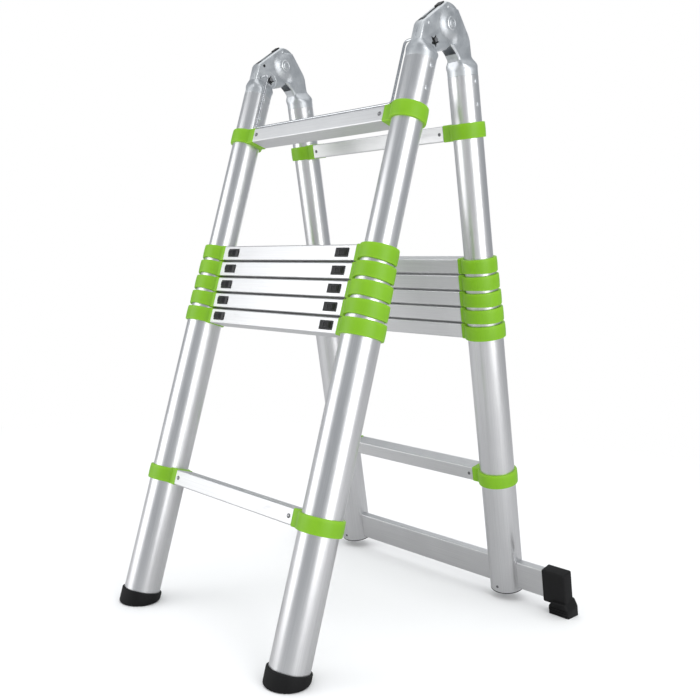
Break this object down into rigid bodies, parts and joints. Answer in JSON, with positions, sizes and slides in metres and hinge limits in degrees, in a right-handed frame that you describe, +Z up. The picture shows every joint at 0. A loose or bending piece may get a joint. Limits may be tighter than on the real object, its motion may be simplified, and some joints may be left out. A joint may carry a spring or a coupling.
{
  "type": "telescoping ladder",
  "caption": "Folding A-frame ladder with nested telescoping tubes, collared rungs with thumb locks, ratchet hinges and a stabiliser bar.",
  "frame": {"origin": "on the ground, at the centre of the footprint of the open ladder", "axes": "+X along the rungs, -Y towards the climbing side, +Y towards the stabiliser bar, +Z up"},
  "size_m": [0.786, 0.7106, 1.183],
  "materials": {
    "aluminium_tube": "satin anodised extrusion",
    "aluminium_rung": "satin extrusion with a grooved tread",
    "green_collar": "moulded, semi-gloss",
    "black_button": "moulded, ribbed",
    "black_rubber": "matt",
    "black_plug": "moulded",
    "zinc_steel": "pressed and zinc plated",
    "dark_steel": "oiled",
    "bright_wire": "drawn wire"
  },
  "bodies": {
    "front_base": {"front_base_tubes": "aluminium_tube", "front_base_collars": "green_collar", "front_rung_1": "aluminium_rung", "front_rung_2": "aluminium_rung", "front_feet": "black_rubber"},
    "front_stage_3": {"front_stage_3_frame": "aluminium_tube", "front_stage_3_collars": "green_collar"},
    "front_stage_4": {"front_stage_4_frame": "aluminium_tube", "front_stage_4_collars": "green_collar"},
    "front_stage_5": {"front_stage_5_frame": "aluminium_tube", "front_stage_5_collars": "green_collar"},
    "front_stage_6": {"front_stage_6_frame": "aluminium_tube", "front_stage_6_collars": "green_collar"},
    "front_stage_7": {"front_stage_7_tubes": "aluminium_tube", "front_stage_7_collars": "green_collar", "front_rung_7": "aluminium_rung", "hinge_front_halves": "zinc_steel"},
    "back_stage_7": {"back_stage_7_tubes": "aluminium_tube", "back_stage_7_collars": "green_collar", "back_rung_7": "aluminium_rung", "hinge_back_halves": "zinc_steel", "hinge_pivot_pins": "zinc_steel", "hinge_ratchets": "dark_steel"},
    "back_stage_6": {"back_stage_6_frame": "aluminium_tube", "back_stage_6_collars": "green_collar"},
    "back_stage_5": {"back_stage_5_frame": "aluminium_tube", "back_stage_5_collars": "green_collar"},
    "back_stage_4": {"back_stage_4_frame": "aluminium_tube", "back_stage_4_collars": "green_collar"},
    "back_stage_3": {"back_stage_3_frame": "aluminium_tube", "back_stage_3_collars": "green_collar"},
    "back_base": {"back_base_tubes": "aluminium_tube", "back_base_collars": "green_collar", "back_rung_1": "aluminium_rung", "back_rung_2": "aluminium_rung", "stabiliser_bar": "aluminium_rung", "stabiliser_feet": "black_rubber", "back_tube_plugs": "black_plug"},
    "lock_bolts": {"hinge_lock_bolts": "dark_steel"},
    "release_bail": {"lock_release_bail": "bright_wire"},
    "front_rung_2_button_left": {"front_rung_2_button_left": "black_button"},
    "front_rung_2_button_right": {"front_rung_2_button_right": "black_button"},
    "front_rung_3_button_left": {"front_rung_3_button_left": "black_button"},
    "front_rung_3_button_right": {"front_rung_3_button_right": "black_button"},
    "front_rung_4_button_left": {"front_rung_4_button_left": "black_button"},
    "front_rung_4_button_right": {"front_rung_4_button_right": "black_button"},
    "front_rung_5_button_left": {"front_rung_5_button_left": "black_button"},
    "front_rung_5_button_right": {"front_rung_5_button_right": "black_button"},
    "front_rung_6_button_left": {"front_rung_6_button_left": "black_button"},
    "front_rung_6_button_right": {"front_rung_6_button_right": "black_button"},
    "back_rung_2_button_left": {"back_rung_2_button_left": "black_button"},
    "back_rung_2_button_right": {"back_rung_2_button_right": "black_button"},
    "back_rung_3_button_left": {"back_rung_3_button_left": "black_button"},
    "back_rung_3_button_right": {"back_rung_3_button_right": "black_button"},
    "back_rung_4_button_left": {"back_rung_4_button_left": "black_button"},
    "back_rung_4_button_right": {"back_rung_4_button_right": "black_button"},
    "back_rung_5_button_left": {"back_rung_5_button_left": "black_button"},
    "back_rung_5_button_right": {"back_rung_5_button_right": "black_button"},
    "back_rung_6_button_left": {"back_rung_6_button_left": "black_button"},
    "back_rung_6_button_right": {"back_rung_6_button_right": "black_button"}
  },
  "joints": [
    {"name": "front_stage_3_slide", "type": "slide", "parent": "front_base", "child": "front_stage_3", "axis": [0, 0.2351, 0.972], "range_m": [0, 0.2265]},
    {"name": "front_stage_4_slide", "type": "slide", "parent": "front_stage_3", "child": "front_stage_4", "axis": [0, 0.2351, 0.972], "range_m": [0, 0.2265]},
    {"name": "front_stage_5_slide", "type": "slide", "parent": "front_stage_4", "child": "front_stage_5", "axis": [0, 0.2351, 0.972], "range_m": [0, 0.2265]},
    {"name": "front_stage_6_slide", "type": "slide", "parent": "front_stage_5", "child": "front_stage_6", "axis": [0, 0.2351, 0.972], "range_m": [0, 0.2265]},
    {"name": "front_stage_7_slide", "type": "slide", "parent": "front_stage_6", "child": "front_stage_7", "axis": [0, 0.2351, 0.972], "range_m": [-0.2265, 0]},
    {"name": "main_fold", "type": "hinge", "parent": "front_stage_7", "child": "back_stage_7", "pos_m": [0, 0.00581, 1.144], "axis": [1, 0, 0], "range_deg": [-27.2, 152.8]},
    {"name": "back_stage_7_slide", "type": "slide", "parent": "back_stage_7", "child": "back_stage_6", "axis": [0, 0.2351, -0.972], "range_m": [-0.2265, 0]},
    {"name": "back_stage_6_slide", "type": "slide", "parent": "back_stage_6", "child": "back_stage_5", "axis": [0, 0.2351, -0.972], "range_m": [0, 0.2265]},
    {"name": "back_stage_5_slide", "type": "slide", "parent": "back_stage_5", "child": "back_stage_4", "axis": [0, 0.2351, -0.972], "range_m": [0, 0.2265]},
    {"name": "back_stage_4_slide", "type": "slide", "parent": "back_stage_4", "child": "back_stage_3", "axis": [0, 0.2351, -0.972], "range_m": [0, 0.2265]},
    {"name": "back_stage_3_slide", "type": "slide", "parent": "back_stage_3", "child": "back_base", "axis": [0, 0.2351, -0.972], "range_m": [0, 0.2265]},
    {"name": "bail_lift", "type": "slide", "parent": "front_stage_7", "child": "release_bail", "axis": [0, 0.2351, 0.972], "range_m": [0, 0.008], "stiffness_N_per_m": 400, "springref_m": -0.006},
    {"name": "bolt_draw", "type": "slide", "parent": "front_stage_7", "child": "lock_bolts", "axis": [0, -0.2351, -0.972], "range_m": [0, 0.006], "stiffness_N_per_m": 400, "springref_m": -0.006},
    {"name": "front_rung_2_button_left_press", "type": "slide", "parent": "front_base", "child": "front_rung_2_button_left", "axis": [1, 0, 0], "range_m": [0, 0.01], "stiffness_N_per_m": 300, "springref_m": -0.008},
    {"name": "front_rung_2_button_right_press", "type": "slide", "parent": "front_base", "child": "front_rung_2_button_right", "axis": [-1, 0, 0], "range_m": [0, 0.01], "stiffness_N_per_m": 300, "springref_m": -0.008},
    {"name": "front_rung_3_button_left_press", "type": "slide", "parent": "front_stage_3", "child": "front_rung_3_button_left", "axis": [1, 0, 0], "range_m": [0, 0.01], "stiffness_N_per_m": 300, "springref_m": -0.008},
    {"name": "front_rung_3_button_right_press", "type": "slide", "parent": "front_stage_3", "child": "front_rung_3_button_right", "axis": [-1, 0, 0], "range_m": [0, 0.01], "stiffness_N_per_m": 300, "springref_m": -0.008},
    {"name": "front_rung_4_button_left_press", "type": "slide", "parent": "front_stage_4", "child": "front_rung_4_button_left", "axis": [1, 0, 0], "range_m": [0, 0.01], "stiffness_N_per_m": 300, "springref_m": -0.008},
    {"name": "front_rung_4_button_right_press", "type": "slide", "parent": "front_stage_4", "child": "front_rung_4_button_right", "axis": [-1, 0, 0], "range_m": [0, 0.01], "stiffness_N_per_m": 300, "springref_m": -0.008},
    {"name": "front_rung_5_button_left_press", "type": "slide", "parent": "front_stage_5", "child": "front_rung_5_button_left", "axis": [1, 0, 0], "range_m": [0, 0.01], "stiffness_N_per_m": 300, "springref_m": -0.008},
    {"name": "front_rung_5_button_right_press", "type": "slide", "parent": "front_stage_5", "child": "front_rung_5_button_right", "axis": [-1, 0, 0], "range_m": [0, 0.01], "stiffness_N_per_m": 300, "springref_m": -0.008},
    {"name": "front_rung_6_button_left_press", "type": "slide", "parent": "front_stage_6", "child": "front_rung_6_button_left", "axis": [1, 0, 0], "range_m": [0, 0.01], "stiffness_N_per_m": 300, "springref_m": -0.008},
    {"name": "front_rung_6_button_right_press", "type": "slide", "parent": "front_stage_6", "child": "front_rung_6_button_right", "axis": [-1, 0, 0], "range_m": [0, 0.01], "stiffness_N_per_m": 300, "springref_m": -0.008},
    {"name": "back_rung_2_button_left_press", "type": "slide", "parent": "back_base", "child": "back_rung_2_button_left", "axis": [1, 0, 0], "range_m": [0, 0.01], "stiffness_N_per_m": 300, "springref_m": -0.008},
    {"name": "back_rung_2_button_right_press", "type": "slide", "parent": "back_base", "child": "back_rung_2_button_right", "axis": [-1, 0, 0], "range_m": [0, 0.01], "stiffness_N_per_m": 300, "springref_m": -0.008},
    {"name": "back_rung_3_button_left_press", "type": "slide", "parent": "back_stage_3", "child": "back_rung_3_button_left", "axis": [1, 0, 0], "range_m": [0, 0.01], "stiffness_N_per_m": 300, "springref_m": -0.008},
    {"name": "back_rung_3_button_right_press", "type": "slide", "parent": "back_stage_3", "child": "back_rung_3_button_right", "axis": [-1, 0, 0], "range_m": [0, 0.01], "stiffness_N_per_m": 300, "springref_m": -0.008},
    {"name": "back_rung_4_button_left_press", "type": "slide", "parent": "back_stage_4", "child": "back_rung_4_button_left", "axis": [1, 0, 0], "range_m": [0, 0.01], "stiffness_N_per_m": 300, "springref_m": -0.008},
    {"name": "back_rung_4_button_right_press", "type": "slide", "parent": "back_stage_4", "child": "back_rung_4_button_right", "axis": [-1, 0, 0], "range_m": [0, 0.01], "stiffness_N_per_m": 300, "springref_m": -0.008},
    {"name": "back_rung_5_button_left_press", "type": "slide", "parent": "back_stage_5", "child": "back_rung_5_button_left", "axis": [1, 0, 0], "range_m": [0, 0.01], "stiffness_N_per_m": 300, "springref_m": -0.008},
    {"name": "back_rung_5_button_right_press", "type": "slide", "parent": "back_stage_5", "child": "back_rung_5_button_right", "axis": [-1, 0, 0], "range_m": [0, 0.01], "stiffness_N_per_m": 300, "springref_m": -0.008},
    {"name": "back_rung_6_button_left_press", "type": "slide", "parent": "back_stage_6", "child": "back_rung_6_button_left", "axis": [1, 0, 0], "range_m": [0, 0.01], "stiffness_N_per_m": 300, "springref_m": -0.008},
    {"name": "back_rung_6_button_right_press", "type": "slide", "parent": "back_stage_6", "child": "back_rung_6_button_right", "axis": [-1, 0, 0], "range_m": [0, 0.01], "stiffness_N_per_m": 300, "springref_m": -0.008}
  ],
  "couplings": [
    {"joint": "bolt_draw", "follows": "bail_lift", "ratio": 0.75}
  ]
}
